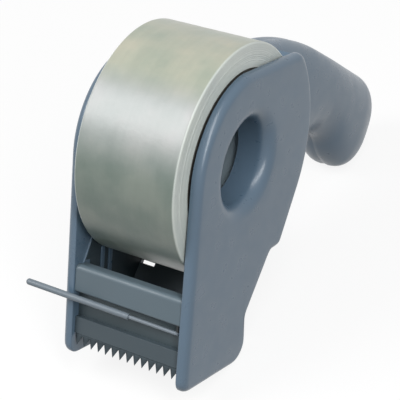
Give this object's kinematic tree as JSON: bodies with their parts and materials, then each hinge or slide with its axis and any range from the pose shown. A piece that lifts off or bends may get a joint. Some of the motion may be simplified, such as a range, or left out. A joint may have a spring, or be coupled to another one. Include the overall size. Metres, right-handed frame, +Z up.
{
  "type": "packing tape dispenser",
  "caption": "Hand-held packing tape dispenser with a roll between two cheeks, a toothed blade on the nose, a tape gate and a pistol handle.",
  "frame": {"origin": "on the hub axis, half way between the cheeks", "axes": "+X along the hub axis to the right-hand cheek, +Y back to the handle, +Z up, standing on the heels of the cheeks and the end of the handle"},
  "size_m": [0.0814, 0.2376, 0.1497],
  "materials": {
    "body_plastic": "satin moulded blue-grey plastic",
    "nose_plastic": "satin moulded dark grey plastic",
    "drum_plastic": "satin moulded grey plastic",
    "gate_plastic": "satin light grey plastic sleeve",
    "wire_steel": "plain drawn wire",
    "screw_steel": "zinc plated",
    "blade_steel": "blue-grey coated, toothed",
    "insert_brass": "turned",
    "felt": "pressed felt",
    "cardboard": "kraft cardboard, matte",
    "tape": "wound clear film, glossy"
  },
  "bodies": {
    "frame": {"right_half": "body_plastic", "left_half": "body_plastic", "handle_screws": "screw_steel", "tie_screws": "screw_steel", "tie_inserts": "insert_brass", "crossbar": "body_plastic", "nose_block": "nose_plastic", "rear_panel": "nose_plastic", "blade_clamp": "body_plastic", "blade": "blade_steel", "blade_screws": "screw_steel", "drag_washers": "felt", "gate_bush": "drum_plastic"},
    "roll": {"core_drum": "drum_plastic", "tape_core": "cardboard", "tape_roll": "tape"},
    "gate": {"gate_wire": "wire_steel", "gate_sleeve": "gate_plastic"}
  },
  "joints": [
    {"name": "roll_spin", "type": "hinge", "parent": "frame", "child": "roll", "pos_m": [0, 0, 0], "axis": [1, 0, 0], "continuous": true},
    {"name": "gate_swing", "type": "hinge", "parent": "frame", "child": "gate", "pos_m": [0.02505, -0.0547, -0.05602], "axis": [0, 0.2776, 0.9607], "range_deg": [0, 25], "stiffness_Nm_per_rad": 0.01}
  ]
}
